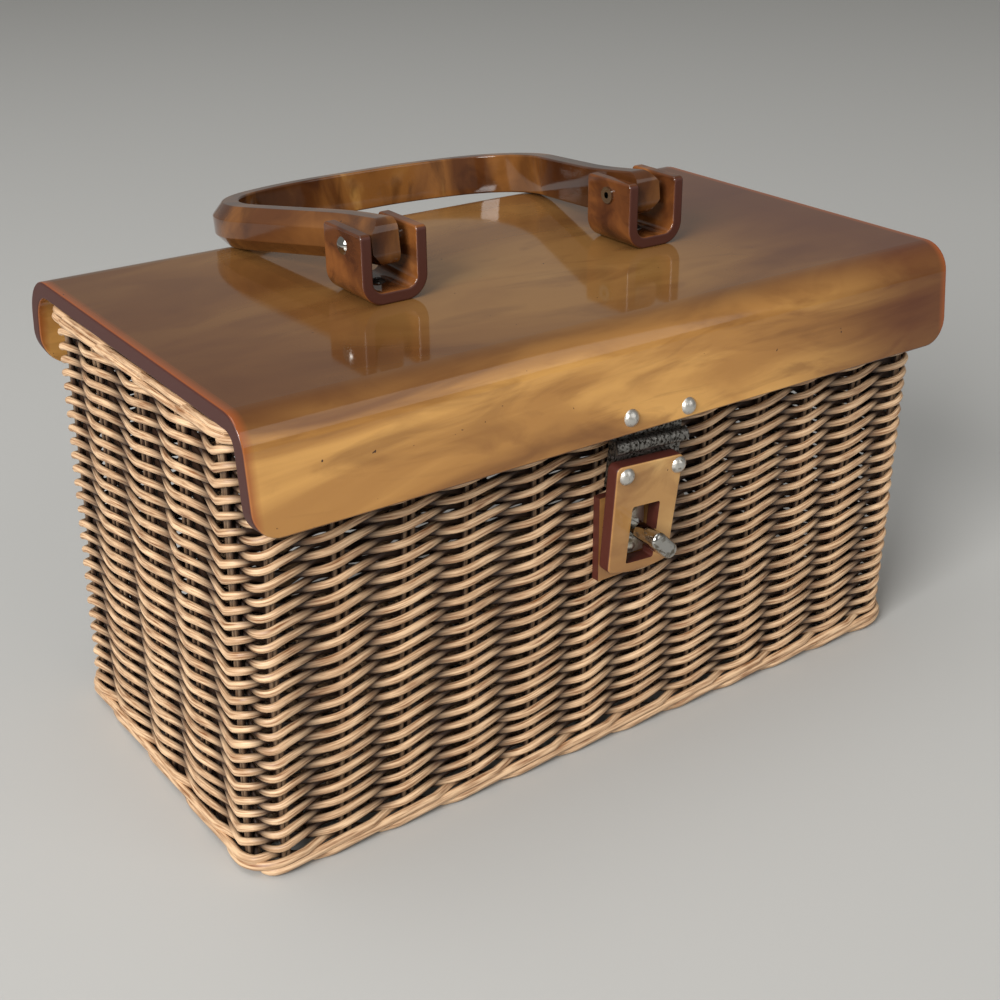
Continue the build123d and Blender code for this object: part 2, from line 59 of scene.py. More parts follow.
# %% Place the camera
def place_camera(eye, azimuth, elevation, roll, lens):
    """A camera whose view axis has that azimuth (from +Y towards +X) and depression, rolled about that axis."""
    az, el, ro = np.radians([azimuth, elevation, roll])
    view = np.array([np.sin(az) * np.cos(el), np.cos(az) * np.cos(el), -np.sin(el)])
    side = np.array([np.cos(az), -np.sin(az), 0.0])
    rise = np.cross(side, view)
    right = side * np.cos(ro) + rise * np.sin(ro)
    up = rise * np.cos(ro) - side * np.sin(ro)
    matrix = np.eye(4)
    matrix[:3, 0], matrix[:3, 1], matrix[:3, 2], matrix[:3, 3] = right, up, -view, eye
    data = bpy.data.cameras.new("camera")
    data.lens, data.sensor_width = lens, 36.0
    camera = bpy.data.objects.new("camera", data)
    bpy.context.scene.collection.objects.link(camera)
    camera.matrix_world = Matrix(matrix.tolist())
    return camera


bpy.context.scene.camera = place_camera((-0.274, -0.399, 0.294), 34.5, 25.7, -0.6, 53.8)
print("camera placed")

# %% [markdown]
# ## Node helpers
# A finish is a small graph of nodes. These helpers add a node, join sockets and set values, so that each
# finish below reads as a short recipe.


# %% Small helpers for finishes
def new_finish(name):
    """An empty material with a Principled shader, given back with its node tree and shader."""
    material = bpy.data.materials.new(name)
    material.use_nodes = True
    tree = material.node_tree
    tree.nodes.clear()
    output = tree.nodes.new("ShaderNodeOutputMaterial")
    shader = tree.nodes.new("ShaderNodeBsdfPrincipled")
    tree.links.new(shader.outputs[0], output.inputs[0])
    return material, tree, shader


def add(tree, kind, inputs=None, **settings):
    """A node of that kind. Inputs maps a socket's name or number to a value or to another node's socket."""
    node = tree.nodes.new("ShaderNode" + kind)
    for key, value in settings.items():
        setattr(node, key, value)
    for key, value in (inputs or {}).items():
        if isinstance(value, bpy.types.NodeSocket):
            tree.links.new(value, node.inputs[key])
        else:
            node.inputs[key].default_value = value
    return node


def maths(tree, operation, *terms):
    """One arithmetic step; gives its result."""
    return add(tree, "Math", dict(enumerate(terms)), operation=operation).outputs[0]


def ramp(tree, factor, stops):
    """A smooth colour ramp with stops of (place, colour)."""
    node = add(tree, "ValToRGB", {"Fac": factor})
    elements = node.color_ramp.elements
    node.color_ramp.interpolation = "EASE"
    for spare in list(elements)[1:]:
        elements.remove(spare)
    elements[0].position, elements[0].color = stops[0][0], (*stops[0][1], 1)
    for place, colour in stops[1:]:
        elements.new(place).color = (*colour, 1)
    return node.outputs[0]


def grade(tree, value, low, high):
    """0 below low, 1 above high, and straight between them."""
    node = add(tree, "MapRange", {"Value": value, "From Min": low, "From Max": high})
    return node.outputs[0]


def mix(tree, factor, first, second, blend="MIX"):
    """First turning into second as the factor goes from 0 to 1."""
    node = add(tree, "Mix", data_type="RGBA", blend_type=blend)
    for socket, value in zip((node.inputs[0], node.inputs[6], node.inputs[7]), (factor, first, second)):
        if isinstance(value, bpy.types.NodeSocket):
            tree.links.new(value, socket)
        elif isinstance(value, tuple):
            socket.default_value = (*value, 1)
        else:
            socket.default_value = value
    return node.outputs[2]


def noise(tree, vector, scale, detail=4.0, distortion=0.0, stretch=(1, 1, 1), shift=(0, 0, 0)):
    """Cloudy noise, stretched and shifted by a Mapping node."""
    mapped = add(tree, "Mapping", {"Vector": vector, "Scale": stretch, "Location": shift}).outputs[0]
    values = {"Vector": mapped, "Scale": scale, "Detail": detail, "Distortion": distortion}
    return add(tree, "TexNoise", values).outputs[0]


def bump(tree, shader, height, strength, distance):
    """Relief on the shader's normal."""
    node = add(tree, "Bump", {"Height": height, "Strength": strength, "Distance": distance})
    tree.links.new(node.outputs[0], shader.inputs["Normal"])


def object_place(tree):
    """The point's own coordinates in metres, and its X, Y and Z apart."""
    vector = add(tree, "TexCoord").outputs["Object"]
    return vector, add(tree, "SeparateXYZ", {0: vector}).outputs


print("finish helpers ready")

# %% [markdown]
# ## Reed
# Split reed is straw coloured, with fine fibres along its length. Deep in the weave, where a strand dives under
# its neighbour, the colour goes to a near-black brown: painted shade. The fibres follow each strand, so the
# pattern reads the strand's own UV map. Two attributes say how light the strand is and how far out of the weave
# it stands, which sets how much painted shade it takes.


# %% The reed finish
# The near-black brown that is painted in as shade deep in the weave.
RECESS_PAINTED_SHADE = (0.030, 0.014, 0.008)
FIBRE_BROWN = (0.30, 0.17, 0.09)
REED_LIGHT = (0.840, 0.590, 0.365)
REED_DARK = (0.560, 0.360, 0.205)


def reed_finish(name, light, dark):
    """Straw reed with fibres, blotches and painted shade in the recesses."""
    material, tree, shader = new_finish(name)
    along = add(tree, "UVMap", uv_map="strand").outputs[0]
    tone = add(tree, "Attribute", attribute_name="tone").outputs["Fac"]
    crest = add(tree, "Attribute", attribute_name="crest").outputs["Fac"]
    fibre = noise(tree, along, 1.0, detail=3, stretch=(90, 11, 1))
    blotch = noise(tree, along, 1.0, detail=5, distortion=0.6, stretch=(38, 1.6, 1))
    middle = tuple(0.5 * (a + b) for a, b in zip(light, dark))
    body = ramp(tree, blotch, [(0.30, dark), (0.52, middle), (0.66, light)])
    body = mix(tree, grade(tree, tone, 0.0, 1.0), mix(tree, 0.55, body, dark), mix(tree, 0.65, body, light))
    body = mix(tree, grade(tree, fibre, 0.60, 0.30), body, FIBRE_BROWN, "MULTIPLY")
    # Painted shade: reed deep in the wall, where light hardly reaches, goes near-black, dappled by the blotches.
    painted_shade = maths(tree, "MULTIPLY", grade(tree, crest, 0.95, 0.12), grade(tree, blotch, -0.30, 0.35))
    body = mix(tree, painted_shade, body, RECESS_PAINTED_SHADE)
    tree.links.new(body, shader.inputs["Base Color"])
    tree.links.new(grade(tree, fibre, -0.5, 1.6), shader.inputs["Roughness"])
    shader.inputs["Specular IOR Level"].default_value = 0.45
    bump(tree, shader, fibre, 0.35, 0.0006)
    return material


REED = reed_finish("reed", REED_LIGHT, REED_DARK)
print("reed finish made")

# %% [markdown]
# ## The wall as a surface
# Every strand is placed by three numbers: how far round the box it is, counted in stakes; how high; and how
# far out from the middle of the wall. The box has rounded corners. Its four walls lean on their own: the reaches
# below say how far each stands from the middle, in the order left, front, right, back, at the floor and at the
# mouth. The whole box also sways a little to the right as it rises.

# %% Sizes of the reed work
MOUTH_Z = 144.5 * MM
BASE_REACH = np.array([136.0, 71.5, 136.0, 67.0]) * MM
MOUTH_REACH = np.array([135.0, 69.5, 137.5, 69.5]) * MM
SWAY = np.array([-1.5, 3.0]) * MM
CORNER_R = 13.0 * MM
WALL_T = 7.6 * MM
STAKES_LONG = 12
STAKES_SHORT = 5
CORNER_COUNT = 0.65
STAKES = 2 * (STAKES_LONG + STAKES_SHORT)
STAKE_R = 0.92 * MM
RNG = np.random.default_rng(7)


# %% Points on the wall
def corner_path(steps=8):
    """The box's outline seen from above, anticlockwise from the front left corner's middle, counted in stakes.

    Gives for each point the count, which side of the corner centres it is on in X and in Y, and the angle of its
    outward direction. Each half corner takes the same share of a count, and a straight side takes what is left.
    """
    signs = np.array([(-1, -1), (1, -1), (1, 1), (-1, 1), (-1, -1)], float)
    rows, start = [], 0
    for side in range(4):
        facing = np.radians(-90 + 90 * side)
        end = start + (STAKES_LONG, STAKES_SHORT)[side % 2]
        share = np.linspace(0, 1, steps + 1)
        for turn in share:
            rows.append((start + turn * CORNER_COUNT, *signs[side], facing - (1 - turn) * np.pi / 4))
        for turn in share[:-1]:
            rows.append((end - (1 - turn) * CORNER_COUNT, *signs[side + 1], facing + turn * np.pi / 4))
        start = end
    rows.append((STAKES, *signs[4], np.radians(-90 + 360 - 45)))
    return np.array(rows).T


PATH = corner_path()


def wall(count, height, out):
    """Points of the wall, and their outward directions: count goes round, in stakes, out is from the wall's middle.

    The corner centres move with the height, because each wall leans on its own.
    """
    lap = np.mod(count, STAKES)
    share_x, share_y, angle = [np.interp(lap, PATH[0], row) for row in PATH[1:]]
    outward = np.stack([np.cos(angle), np.sin(angle), np.zeros_like(angle)], -1)
    share = np.clip(height / MOUTH_Z, 0, 1)
    centres = BASE_REACH + (MOUTH_REACH - BASE_REACH) * share[..., None] - CORNER_R
    left, front, right, back = np.moveaxis(centres, -1, 0)
    radius = CORNER_R - WALL_T / 2 + out
    across = (share_x + 1) / 2
    along = (share_y + 1) / 2
    sway = SWAY[0] + (SWAY[1] - SWAY[0]) * share
    points = np.empty(outward.shape)
    points[..., 0] = -left + (left + right) * across + radius * outward[..., 0] + sway
    points[..., 1] = -front + (front + back) * along + radius * outward[..., 1]
    points[..., 2] = height
    return points, outward


def lap_angle(count):
    """The place round the box as an angle, so that waves made from it meet themselves after a lap."""
    return 2 * np.pi * count / STAKES


def wander(count, height):
    """How far a stake has strayed sideways, as a share of the spacing: two slow waves that differ by place."""
    lap = lap_angle(count)
    return 0.07 * np.sin(15 * lap + 19 * height) * np.sin(31 * height + 6 * lap + 1.0)


def row_drift(count, height):
    """How far a row rides up or down, from slow waves round the box that change with height."""
    lap = lap_angle(count)
    slow = np.sin(2 * lap + 14 * height + 0.6) + 0.7 * np.sin(5 * lap - 23 * height + 2.0)
    quick = 0.5 * np.sin(11 * lap + 37 * height)
    return 0.5 * MM * (slow + quick) * np.clip((MOUTH_Z - 12 * MM - height) / (20 * MM), 0, 1)


print("outline:", PATH.shape[1], "points,", STAKES, "pairs of stakes")

# %% [markdown]
# ## Strands as swept ovals
# All strands come from one builder. It carries an oval along a path: the oval's two half widths may change on
# the way, and its first axis stays as near to a given direction as the path allows.


# %% The strand builder
def strands(name, paths, lean, half_wide, half_deep, tone, crest, sides=8):
    """One object from many equal-length strands.

    paths is strands by steps by 3. Each ring is centre + wide * cos(a) * first + deep * sin(a) * second, where first
    is the lean direction made square to the path, and second is the path direction crossed with first. Tone and
    crest may be one number, one for each step, or one for each point of each ring.
    """
    count, steps = paths.shape[:2]
    ahead = np.gradient(paths, axis=1)
    run = np.concatenate([np.zeros((count, 1)), np.cumsum(np.linalg.norm(np.diff(paths, axis=1), axis=2), 1)], 1)
    ahead /= np.linalg.norm(ahead, axis=2, keepdims=True)
    lean = np.broadcast_to(lean, paths.shape)
    first = lean - (lean * ahead).sum(2, keepdims=True) * ahead
    first /= np.linalg.norm(first, axis=2, keepdims=True)
    second = np.cross(ahead, first)
    angle = 2 * np.pi * np.arange(sides) / sides
    wide = np.broadcast_to(half_wide, (count, steps))[..., None, None]
    deep = np.broadcast_to(half_deep, (count, steps))[..., None, None]
    ring = wide * np.cos(angle)[:, None] * first[:, :, None] + deep * np.sin(angle)[:, None] * second[:, :, None]
    points = paths[:, :, None] + ring
    index = np.arange(count * steps * sides).reshape(count, steps, sides)
    here, ahead_ring = index[:, :-1], index[:, 1:]
    quads = np.stack([here, np.roll(here, -1, 2), np.roll(ahead_ring, -1, 2), ahead_ring], -1).reshape(-1, 4)
    caps = np.concatenate([index[:, 0, ::-1], index[:, -1]])
    loops = np.concatenate([quads.ravel(), caps.ravel()])
    sizes = np.concatenate([np.full(len(quads), 4), np.full(len(caps), sides)])
    mesh = bpy.data.meshes.new(name)
    mesh.vertices.add(points.size // 3)
    mesh.vertices.foreach_set("co", points.astype(np.float32).ravel())
    mesh.loops.add(len(loops))
    mesh.loops.foreach_set("vertex_index", loops.astype(np.int32))
    mesh.polygons.add(len(sizes))
    mesh.polygons.foreach_set("loop_start", np.concatenate([[0], np.cumsum(sizes)[:-1]]).astype(np.int32))
    mesh.update(calc_edges=True)
    mesh.polygons.foreach_set("use_smooth", np.repeat([True, False], [len(quads), len(caps)]))
    across = np.broadcast_to(np.arange(sides) / sides, points.shape[:3])
    offset = 3.7 * np.arange(count)[:, None, None]
    along = np.broadcast_to(run[:, :, None] + offset, points.shape[:3])
    uv = np.stack([along, across], -1).reshape(-1, 2)[loops]
    seam = np.zeros((len(quads), 4), bool)
    seam[:, 1:3] = (np.arange(len(quads)) % sides == sides - 1)[:, None]
    uv[: quads.size, 1] += seam.ravel()
    mesh.uv_layers.new(name="strand").data.foreach_set("uv", uv.astype(np.float32).ravel())
    for label, values in (("tone", tone), ("crest", crest)):
        layer = mesh.attributes.new(label, "FLOAT", "POINT")
        values = np.asarray(values, float)
        spread = values if values.ndim == 3 else np.broadcast_to(values, (count, steps))[..., None]
        spread = np.broadcast_to(spread, points.shape[:3])
        layer.data.foreach_set("value", spread.astype(np.float32).ravel())
    mesh.materials.append(REED)
    piece = bpy.data.objects.new(name, mesh)
    bpy.context.scene.collection.objects.link(piece)
    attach(piece, "basket")
    print(name, "triangles:", 2 * len(quads) + len(caps) * (sides - 2))
    return piece


def unshaded_share(out, reach, axis, sides=8):
    """How far each point of a ring stands out of the painted shade: all the way on the outermost reed.

    The point stands out from the wall's middle by its strand's own distance plus the reach of the ring on the axis
    that looks outwards, which is the ring's first (a cosine, axis 0) or its second (a sine, axis 1). The innermost
    reed, inside the box, is also kept out of the painted shade, but less.
    """
    angle = 2 * np.pi * np.arange(sides) / sides
    out = np.asarray(out)[..., None] + np.asarray(reach)[..., None] * (np.sin(angle) if axis else np.cos(angle))
    outer = np.clip((out - 0.1 * MM) / (2.2 * MM), 0, 1)
    inner = np.clip((-out - 2.3 * MM) / (1.0 * MM), 0, 1)
    return np.maximum(outer, 0.8 * inner)


def random_run(knots, steps, spread):
    """A smooth random line: random values at the knots, joined by straight runs."""
    return np.interp(np.linspace(0, knots - 1, steps), np.arange(knots), RNG.normal(0, spread, knots))


# %% [markdown]
# ## Twining
# The wall is twined: two weavers go round together, one in front of each pair of stakes and one behind it, and
# they swap places in between, always turning the same way. Each weaver is thus a flattened corkscrew. A lap
# is level, and climbs to the next row over its last few pairs, at the back right corner, where the eye seldom
# goes. The strand is widest where it lies over a pair.

# %% Weave the two weavers
ROW_RISE = 4.85 * MM
ROWS = 27
FIRST_ROW_Z = 9.2 * MM
CLIMB_SHARE = 0.09
STEPS_PER_STAKE = 11
TWIST_RISE = 1.18 * MM
RISE_FLATNESS = 1.2
WEAVER_REACH = 2.2 * MM
START = STAKES_LONG + STAKES_SHORT


def weaver(name, phase):
    """A weaver's path: depth is a cosine and rise a sine of one angle, which turns by half a turn from pair to pair.

    The sine is flattened by a tanh, so that a strand rises early on its way in and lies above the one that comes
    out. On the inside the split reed lies flatter and wider than on the outside.
    """
    run = np.linspace(0, STAKES * ROWS, STAKES * ROWS * STEPS_PER_STAKE + 1)
    count = START + run
    lap, place = np.divmod(run / STAKES, 1)
    climb = np.clip((place - 1) / CLIMB_SHARE + 1, 0, 1)
    level = FIRST_ROW_Z + ROW_RISE * (lap + climb**2 * (3 - 2 * climb))
    angle = np.pi * (count - 0.5 - wander(count, level) + phase)
    depth = np.cos(angle)
    rise = np.tanh(RISE_FLATNESS * np.sin(angle)) / np.tanh(RISE_FLATNESS)
    height = level + row_drift(count, level) + TWIST_RISE * rise
    height = height + random_run(STAKES * ROWS + 1, len(run), 0.16 * MM)
    reach = WEAVER_REACH + 0.20 * MM * np.abs(random_run(STAKES * ROWS // 2, len(run), 1.0))
    out = reach * depth - 0.1 * MM
    points, outward = wall(count, height, out)
    thick = 1 + random_run(ROWS * 10, len(run), 0.05)
    tone = 0.5 + random_run(ROWS * 14, len(run), 0.28)
    wide = (1.22 + np.where(depth > 0, 0.10, 0.80) * depth**2) * MM * thick
    deep = (1.00 + np.where(depth > 0, 0.15, -0.10) * depth**2) * MM * thick
    return strands(name, points[None], (0, 0, 1), wide, deep, tone, unshaded_share(out, deep, 1)[None])


WEAVERS = [weaver("weaver_first", 0), weaver("weaver_second", 1)]

# %% [markdown]
# ## Stakes and borders
# The stakes stand in pairs. At the mouth each one is bent to the right, laid in front of the next pair and
# tucked away inside, which makes the border. At the foot a heavier wale, three strands that pass in front of
# two pairs and behind one, sets the box on its feet.

# %% Stand the stakes
STAKE_FOOT_Z, STAKE_TOP_Z = 1.5 * MM, 137 * MM
PAIR_GAP = 0.118
PAIRS = np.arange(STAKES) + 0.5


def stake_counts():
    """The place of each single stake: a pair half way between whole counts, its two stakes a small gap apart."""
    return (PAIRS[:, None] + np.array([-0.5, 0.5]) * PAIR_GAP).ravel()


def stand_stakes():
    """Upright stakes from the foot to just under the mouth, straying as the weavers know."""
    height = np.linspace(STAKE_FOOT_Z, STAKE_TOP_Z, 40)[None]
    count = stake_counts()[:, None] + wander(np.repeat(PAIRS, 2)[:, None], height)
    points, outward = wall(count, np.broadcast_to(height, count.shape), 0)
    tone = 0.45 + RNG.normal(0, 0.2, (len(count), 1))
    # The stakes stand in the middle of the wall, so they take most of the painted shade.
    crest = unshaded_share(np.zeros(count.shape), STAKE_R, 0)
    return strands("stakes", points, outward, STAKE_R, STAKE_R, tone, crest)


stand_stakes()


# %% Turn the stakes down for the rim border
def through(keys, values, steps):
    """Values passed one after another, each eased into the next by half a cosine wave."""
    at = np.linspace(keys[0], keys[-1], steps)
    left = np.clip(np.searchsorted(keys, at, side="right") - 1, 0, len(keys) - 2)
    share = (at - np.take(keys, left)) / (np.take(keys, left + 1) - np.take(keys, left))
    step = np.take(values, left + 1) - np.take(values, left)
    return np.take(values, left) + step * (1 - np.cos(np.pi * share)) / 2


def rim_border():
    """Each stake bends right at the mouth, lies in front of the next pair, and dives inside past the one after.

    The keys mark seven moments of the way, and the three lists say how far along, how high and how far out it is
    at each. Of two stakes in a pair, the left one lies lower and a little further out.
    """
    steps = 44
    keys = [0, 1, 2, 4, 6, 8, 10]
    along = np.interp(np.linspace(0, 10, steps), keys, [0, 0, 0.22, 0.9, 1.6, 2.3, 3.0])
    rise = through(keys, np.array([131, 137.2, 141.2, 142.4, 140.6, 142.0, 139.5]) * MM, steps)
    out = through(keys, np.array([0, 0.4, 2.0, 2.9, 0.2, -2.3, -2.4]) * MM, steps)
    singles = stake_counts()
    lower = np.tile([1.0, 0.0], STAKES)[:, None]
    flat = np.clip(np.linspace(0, 10, steps) - 1, 0, 1)
    height = rise - 2.1 * MM * lower * flat + RNG.normal(0, 0.25 * MM, (2 * STAKES, 1)) * flat
    count = singles[:, None] + along + wander(np.repeat(PAIRS, 2)[:, None], STAKE_TOP_Z) * (1 - flat)
    points, outward = wall(count, height, out + 0.5 * MM * lower * flat)
    tone = 0.6 + RNG.normal(0, 0.22, (2 * STAKES, 1))
    thick = 1.12 * MM
    return strands("rim_border_strands", points, outward, thick, thick, tone, unshaded_share(out, thick, 0)[None])


rim = rim_border()
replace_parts(rim, "rim_border")


# %% Twine the foot wale
FOOT_FRONT_SHARE = 0.72
FOOT_DIVE_SHARE = 0.11


def foot_wale():
    """Three strands, each in front of two pairs and behind one.

    In front, a strand climbs evenly from the floor to the first row, and behind it drops back: two of the three
    are in front at any place, one above the other, like the strands of a rope. Turn is how much of its way over
    three pairs a strand has gone, and it is in front for the first part of that way.
    """
    count = START + np.linspace(0, STAKES, STAKES * 12 + 1)[None] + np.zeros((3, 1))
    turn = np.mod((count - START - np.arange(3)[:, None]) / 3, 1)
    climb = np.where(turn < FOOT_FRONT_SHARE, turn / FOOT_FRONT_SHARE, (1 - turn) / (1 - FOOT_FRONT_SHARE))
    depth = np.clip(np.minimum(turn + 0.04, FOOT_FRONT_SHARE - turn) / FOOT_DIVE_SHARE, -1, 1)
    depth = np.where(turn > 0.86, np.clip((turn - 0.96) / FOOT_DIVE_SHARE, -1, 1), depth)
    out = (2.5 * depth + 0.3) * MM
    points, outward = wall(count, (1.5 + 4.9 * climb) * MM, out)
    tone = 0.55 + RNG.normal(0, 0.15, (3, 1))
    deep = 1.35 * MM
    return strands("foot_wale", points, (0, 0, 1), 1.5 * MM, deep, tone, unshaded_share(out, deep, 1))


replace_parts(foot_wale(), "foot_border")
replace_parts(WEAVERS[0], "woven_body")

# %% [markdown]
# ## The woven base
# The base is a plain weave: sticks along the box with weavers across them, over one and under the next.


# %% Weave the base
BASE_Z = 7.6 * MM
BASE_STICKS = 13
STICK_SPACING = 9.667 * MM
BASE_WEAVER_SPACING = 3.7
BASE_WAVE = 2.0 * MM


def base_sticks():
    """Straight sticks along the box."""
    across = np.linspace(-58, 58, BASE_STICKS) * MM
    reach = BASE_REACH[0] - 4 * MM
    points = np.zeros((len(across), 24, 3))
    points[..., 0] = np.linspace(-reach, reach, 24)
    points[..., 1] = across[:, None]
    points[..., 2] = BASE_Z
    # The base sticks take a middling share of the painted shade all over.
    return strands("base_sticks", points, (0, 0, 1), 1.3 * MM, 1.3 * MM, 0.4, 0.4, sides=6)


def base_weavers():
    """Strands across the box, over and under the sticks by a cosine, each the other way up from its neighbour."""
    along = np.arange(-129, 129.1, BASE_WEAVER_SPACING) * MM
    across = np.linspace(-63, 63, 92) * MM
    points = np.zeros((len(along), len(across), 3))
    points[..., 0] = along[:, None]
    points[..., 1] = across
    sense = np.where(np.arange(len(along)) % 2, 1.0, -1.0)[:, None]
    points[..., 2] = BASE_Z + BASE_WAVE * sense * np.cos(np.pi * across / STICK_SPACING)
    tone = 0.4 + RNG.normal(0, 0.2, (len(along), 1))
    # The base weavers take a middling share of the painted shade all over.
    return strands("base_weavers", points, (1, 0, 0), 1.7 * MM, 1.0 * MM, tone, 0.5, sides=6)


base = [base_sticks(), base_weavers()]
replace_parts(base[1], "woven_base")

# %% [markdown]
# ## Marbled amber plastic
# The sheet is cast with darker and lighter amber stirred together and drawn out along the sheet. Cloudy noise
# stretched along X gives the clouds, and a finer, bent one the wisps. Cut edges let no light through: they are
# matt and dark red, with a warm painted highlight beside them where the polish rounds the corner.


# %% The amber finish
SPECK = (0.05, 0.02, 0.01)
CUT_ROUGHNESS = 0.55


def amber_finish(name, golds, stretch, shift, grain=1.0, wisp=0.55, extra=None):
    """Marbled amber: clouds pick a colour from dark to gold, and wisps darken it.

    Extra may change the colour and return how much of each place is a matt sawn cut.
    """
    material, tree, shader = new_finish(name)
    vector, axes = object_place(tree)
    clouds = noise(tree, vector, 9.0 * grain, detail=5, distortion=0.9, stretch=stretch, shift=shift)
    wisps = noise(tree, vector, 21.0 * grain, detail=7, distortion=1.6, stretch=stretch, shift=shift[::-1])
    colour = ramp(tree, clouds, [(0.28, golds[0]), (0.43, golds[1]), (0.60, golds[2]), (0.76, golds[3])])
    thin = maths(tree, "MULTIPLY", grade(tree, wisps, 0.50, 0.66), wisp)
    colour = mix(tree, thin, colour, golds[0])
    cut = 0.0
    if extra:
        colour, cut = extra(tree, axes, colour)
    scuff = noise(tree, vector, 160, detail=6, stretch=(1, 5, 5))
    specks = noise(tree, vector, 620, detail=1, shift=(0.2, 0.1, 0.4))
    colour = mix(tree, grade(tree, specks, 0.795, 0.83), colour, SPECK)
    tree.links.new(colour, shader.inputs["Base Color"])
    rough = maths(tree, "MULTIPLY_ADD", scuff, 0.10, 0.03)
    rough = maths(tree, "MAXIMUM", rough, maths(tree, "MULTIPLY", cut, CUT_ROUGHNESS))
    tree.links.new(rough, shader.inputs["Roughness"])
    shader.inputs["IOR"].default_value = 1.49
    bump(tree, shader, noise(tree, vector, 45, detail=3), 0.05, 0.0006)
    return material


LID_CUT = (0.050, 0.010, 0.006)
# The warm colour of the highlight that is painted along the rounded cut ends.
LID_END_PAINTED_HIGHLIGHT = (0.30, 0.075, 0.018)
# The brown that is painted over the flat top as shade.
LID_TOP_PAINTED_SHADE = (0.112, 0.049, 0.017)
LID_RIGHT_RED = (0.085, 0.020, 0.006)
LID_LEFT_RED = (0.080, 0.024, 0.006)
LATCH_CUT = (0.070, 0.013, 0.007)
CHANNEL_CUT = (0.060, 0.013, 0.006)


def looks(tree, axis, low, high):
    """How much a face looks along one axis of the object, from 0 at the low share to 1 at the high one."""
    facing = add(tree, "SeparateXYZ", {0: add(tree, "TexCoord").outputs["Normal"]}).outputs[axis]
    return grade(tree, maths(tree, "ABSOLUTE", facing), low, high)


def lid_edges(tree, axes, colour):
    """Painted shade darkens the flat top; redder towards both ends, a warm painted highlight line at the cut ends,
    and dark on the cuts.

    The heights and lengths are the places, in metres, between which each change comes in.
    """
    # Painted shade: the flat top is darkened, standing in for how the light falls on it.
    top = grade(tree, axes[2], 0.1440, 0.1500)
    colour = mix(tree, maths(tree, "MULTIPLY", top, 0.74), colour, LID_TOP_PAINTED_SHADE)
    redden = maths(tree, "MULTIPLY", grade(tree, axes[0], 0.040, 0.115), 0.85)
    colour = mix(tree, redden, colour, LID_RIGHT_RED)
    redden = maths(tree, "MULTIPLY", maths(tree, "MULTIPLY", grade(tree, axes[0], -0.040, -0.125), top), 0.70)
    colour = mix(tree, redden, colour, LID_LEFT_RED)
    # Painted highlight: a warm line near the cut ends, where the rounded polished corner would catch the light.
    end = grade(tree, maths(tree, "ABSOLUTE", axes[0]), 0.1290, 0.1315)
    colour = mix(tree, maths(tree, "MULTIPLY", end, 0.75), colour, LID_END_PAINTED_HIGHLIGHT)
    lower_edges = grade(tree, axes[2], 0.1174, 0.1168)
    cut = maths(tree, "MAXIMUM", looks(tree, 0, 0.45, 0.75), lower_edges)
    return mix(tree, cut, colour, LID_CUT), cut


def latch_sides(tree, axes, colour):
    """Dark red on every face that does not look to the front or the back, where the plate was sawn."""
    cut = looks(tree, 1, 0.70, 0.45)
    return mix(tree, cut, colour, LATCH_CUT), cut


def channel_sides(tree, axes, colour):
    """Dark red on the cut faces of the channels, which look to the front and the back."""
    cut = looks(tree, 1, 0.6, 0.85)
    return mix(tree, cut, colour, CHANNEL_CUT), cut


LID_GOLDS = [(0.170, 0.066, 0.017), (0.400, 0.190, 0.050), (0.600, 0.315, 0.088), (0.740, 0.420, 0.130)]
AMBER_LID = amber_finish("amber_lid", LID_GOLDS, (0.9, 2.4, 4.2), (0.3, 0.1, 0.7), wisp=0.45, extra=lid_edges)
CHANNEL_GOLDS = [(0.035, 0.010, 0.005), (0.100, 0.032, 0.010), (0.200, 0.070, 0.018), (0.34, 0.14, 0.04)]
AMBER_BRACKET = amber_finish(
    "amber_bracket", CHANNEL_GOLDS, (1.4, 1.4, 2.2), (1.7, 0.4, 0.2), grain=2.2, extra=channel_sides
)
HANDLE_GOLDS = [(0.030, 0.009, 0.004), (0.080, 0.027, 0.008), (0.200, 0.080, 0.020), (0.62, 0.35, 0.10)]
AMBER_HANDLE = amber_finish("amber_handle", HANDLE_GOLDS, (2.2, 1.0, 1.0), (0.9, 1.4, 0.5), grain=1.5)
LATCH_GOLDS = [(0.200, 0.085, 0.026), (0.340, 0.165, 0.052), (0.450, 0.240, 0.080), (0.56, 0.33, 0.12)]
AMBER_LATCH = amber_finish(
    "amber_latch", LATCH_GOLDS, (1.0, 1.0, 1.6), (0.2, 2.4, 0.9), grain=1.6, extra=latch_sides
)
print("amber finishes made")

# %% [markdown]
# ## Metals
# The knob and the handle pins are plated metal that still mirrors. The hinges have lost their shine: their
# plating is pitted and nearly black. The rivet heads are satin metal with a few dull spots, and the lock's plate
# has tarnished to yellow.


# %% Metal finishes
def metal_finish(name, clean, dull, roughness, spots, wear, relief):
    """Plated metal: noise mixes clean plating with dull spots that are rougher, and gives a slight relief."""
    material, tree, shader = new_finish(name)
    vector, axes = object_place(tree)
    patches = noise(tree, vector, spots, detail=6, distortion=0.4)
    worn = grade(tree, patches, 0.66 - wear, 0.72 - 0.6 * wear)
    tree.links.new(mix(tree, worn, clean, dull), shader.inputs["Base Color"])
    tree.links.new(maths(tree, "MULTIPLY_ADD", worn, 0.30, roughness), shader.inputs["Roughness"])
    shader.inputs["Metallic"].default_value = 1.0
    bump(tree, shader, patches, relief, 0.0004)
    return material


CHROME = metal_finish("bright_plating", (0.42, 0.41, 0.385), (0.17, 0.15, 0.12), 0.10, 420, 0.10, 0.10)
HINGE = metal_finish("worn_hinge", (0.22, 0.21, 0.195), (0.022, 0.018, 0.014), 0.36, 1100, 0.21, 0.6)
RIVET = metal_finish("rivet_heads", (0.62, 0.60, 0.56), (0.26, 0.23, 0.19), 0.34, 700, 0.09, 0.35)
PLATE = metal_finish("tarnished_plate", (0.66, 0.62, 0.52), (0.34, 0.29, 0.20), 0.34, 260, 0.16, 0.3)
print("metal finishes made")

